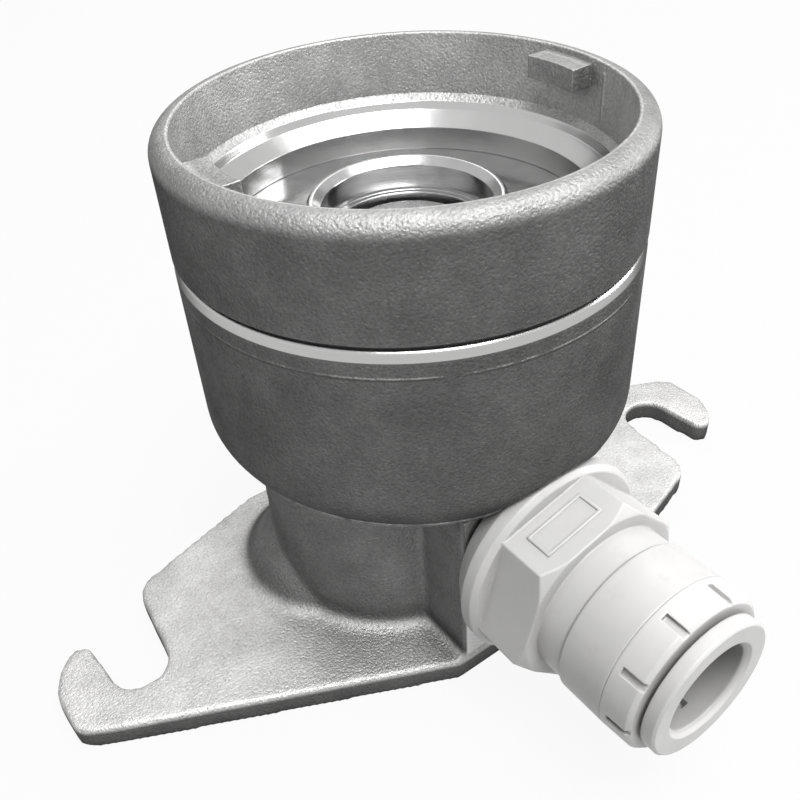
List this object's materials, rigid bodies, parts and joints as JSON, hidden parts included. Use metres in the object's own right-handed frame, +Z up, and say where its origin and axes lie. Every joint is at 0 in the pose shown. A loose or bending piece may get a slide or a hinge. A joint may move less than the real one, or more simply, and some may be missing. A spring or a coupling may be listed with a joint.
{
  "type": "keg cleaning coupler",
  "caption": "Wall-mounted cleaning socket for keg couplers: locking cup with a sprung valve, hook-eared base plate and a push-in tube adaptor.",
  "frame": {"origin": "centre of the mounting plate's underside, on the cup axis", "axes": "+Z up through the cup, -Y out along the tube adaptor, X across the two hook ears"},
  "size_m": [0.1248, 0.0874, 0.0768],
  "materials": {
    "cast_steel": "grainy investment casting",
    "turned_steel": "turned bright",
    "spring_steel": "drawn wire",
    "seal_rubber": "matt moulded",
    "acetal": "satin moulded"
  },
  "bodies": {
    "socket": {"cup_collar": "cast_steel", "collar_gasket": "seal_rubber", "lower_bowl": "cast_steel", "port_neck": "cast_steel", "mounting_plate": "cast_steel", "seat_ring": "turned_steel", "seat_ring_o_ring": "seal_rubber", "valve_spring": "spring_steel", "spring_seat": "turned_steel", "valve_cage": "turned_steel", "cage_circlip": "spring_steel", "adaptor_body": "acetal", "adaptor_face_seal": "seal_rubber", "tube_o_ring": "seal_rubber", "seal_washer": "acetal", "adaptor_end_cap": "acetal"},
    "poppet": {"valve_poppet": "turned_steel", "poppet_cap": "turned_steel", "poppet_seal": "seal_rubber", "stem_clip": "spring_steel"},
    "tube_collet": {"collet": "acetal", "collet_teeth": "spring_steel"}
  },
  "joints": [
    {"name": "poppet_slide", "type": "slide", "parent": "socket", "child": "poppet", "axis": [0, 0, -1], "range_m": [0, 0.006], "stiffness_N_per_m": 900, "springref_m": -0.004, "deforming": ["valve_spring"]},
    {"name": "collet_slide", "type": "slide", "parent": "socket", "child": "tube_collet", "axis": [0, -1, 0], "range_m": [-0.0005, 0.0012]}
  ]
}
